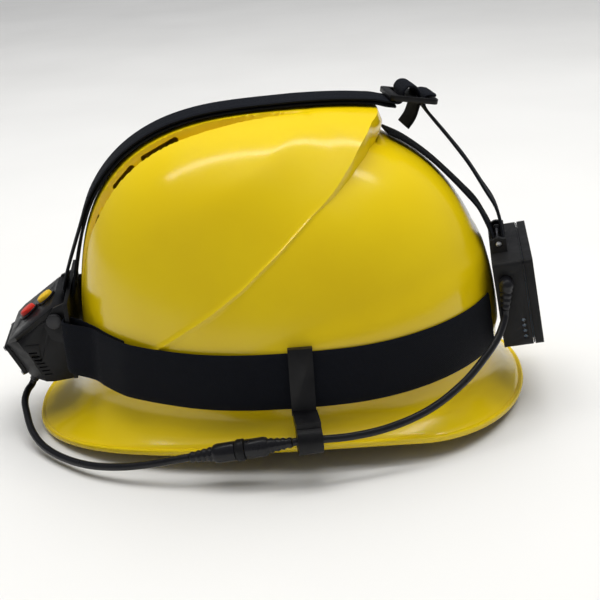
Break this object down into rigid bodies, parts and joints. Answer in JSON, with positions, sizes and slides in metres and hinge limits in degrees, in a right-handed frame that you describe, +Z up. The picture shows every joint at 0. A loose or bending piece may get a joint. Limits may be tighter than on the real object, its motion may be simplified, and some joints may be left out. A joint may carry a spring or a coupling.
{
  "type": "miner's cap lamp on its safety helmet",
  "caption": "Tilting cap lamp, battery pack and lead strapped by elastic webbing to a yellow V-ridge safety helmet with its head suspension.",
  "frame": {"origin": "middle of the head opening, in the plane that the brim's front and rear tips rest on", "axes": "+Z up out of the crown, -X towards the wearer's front and the lamp, -Y towards the wearer's left"},
  "size_m": [0.315, 0.2377, 0.1751],
  "materials": {
    "helmet_abs": "moulded, glossy",
    "black_plastic": "satin, fine grain",
    "black_rubber": "matt",
    "webbing": "woven elastic",
    "steel": "satin",
    "aluminium": "dark anodised",
    "clear": "clear",
    "mirror": "polished",
    "board": "circuit board",
    "cell_wrap": "heat-shrink wrap",
    "red": "satin",
    "amber": "satin",
    "grey_plastic": "satin",
    "foam": "padded brow band",
    "crown_webbing": "woven"
  },
  "bodies": {
    "helmet": {"helmet_shell": "helmet_abs", "head_band_left": "webbing", "head_band_right": "webbing", "top_strap": "webbing", "rear_strap": "webbing", "triglide_buckle": "black_plastic", "battery_case": "black_plastic", "battery_cover": "black_plastic", "lamp_bracket": "black_plastic", "cable_clip": "black_plastic", "connector_lock_ring": "black_plastic", "pack_gasket": "black_rubber", "connector_plug": "black_rubber", "connector_socket": "black_rubber", "lead_front": "black_rubber", "lead_rear": "black_rubber", "battery_gland": "black_rubber", "strap_bar": "steel", "pivot_bolt": "steel", "pivot_nut": "steel", "cover_screw_1": "steel", "cover_screw_2": "steel", "cell_1": "cell_wrap", "cell_2": "cell_wrap", "protection_board": "board", "charge_light_pipe": "clear", "headband": "grey_plastic", "ratchet_housing": "grey_plastic", "suspension_key_1": "grey_plastic", "suspension_key_2": "grey_plastic", "suspension_key_3": "grey_plastic", "suspension_key_4": "grey_plastic", "sweatband": "foam", "crown_strap_1": "crown_webbing", "crown_strap_2": "crown_webbing"},
    "lamp": {"lamp_housing": "black_plastic", "lamp_bezel": "black_plastic", "bezel_screw_1": "steel", "bezel_screw_2": "steel", "bezel_screw_3": "steel", "bezel_screw_4": "steel", "lamp_lens": "clear", "lens_gasket": "black_rubber", "spot_reflector": "mirror", "flood_reflector": "mirror", "led_board": "board", "heat_sink": "aluminium", "driver_board": "board", "switch_board": "board", "red_button_collar": "black_rubber", "yellow_button_collar": "black_rubber", "lamp_gland": "black_rubber"},
    "red_button": {"red_button": "red"},
    "yellow_button": {"yellow_button": "amber"},
    "ratchet_knob": {"ratchet_knob": "black_plastic"},
    "nape_rack_left": {"nape_rack_left": "grey_plastic"},
    "nape_rack_right": {"nape_rack_right": "grey_plastic"}
  },
  "joints": [
    {"name": "lamp_tilt", "type": "hinge", "parent": "helmet", "child": "lamp", "pos_m": [-0.1312, 0, 0.066], "axis": [0, 1, 0], "range_deg": [0, 60], "deforming": ["lead_front"]},
    {"name": "red_button_press", "type": "slide", "parent": "lamp", "child": "red_button", "axis": [0.5591, 0, -0.8291], "range_m": [0, 0.001], "stiffness_N_per_m": 1500},
    {"name": "yellow_button_press", "type": "slide", "parent": "lamp", "child": "yellow_button", "axis": [0.5591, 0, -0.8291], "range_m": [0, 0.001], "stiffness_N_per_m": 1500},
    {"name": "ratchet_turn", "type": "hinge", "parent": "helmet", "child": "ratchet_knob", "pos_m": [0.1066, 0, 0.025], "axis": [1, 0, 0], "range_deg": [-110, 110]},
    {"name": "nape_left_slide", "type": "slide", "parent": "helmet", "child": "nape_rack_left", "axis": [0, 1, 0], "range_m": [-0.0052, 0.0052]},
    {"name": "nape_right_slide", "type": "slide", "parent": "helmet", "child": "nape_rack_right", "axis": [0, -1, 0], "range_m": [-0.0052, 0.0052]}
  ],
  "couplings": [
    {"joint": "nape_left_slide", "follows": "ratchet_turn", "m_per_rad": 0.0025},
    {"joint": "nape_right_slide", "follows": "ratchet_turn", "m_per_rad": 0.0025}
  ]
}
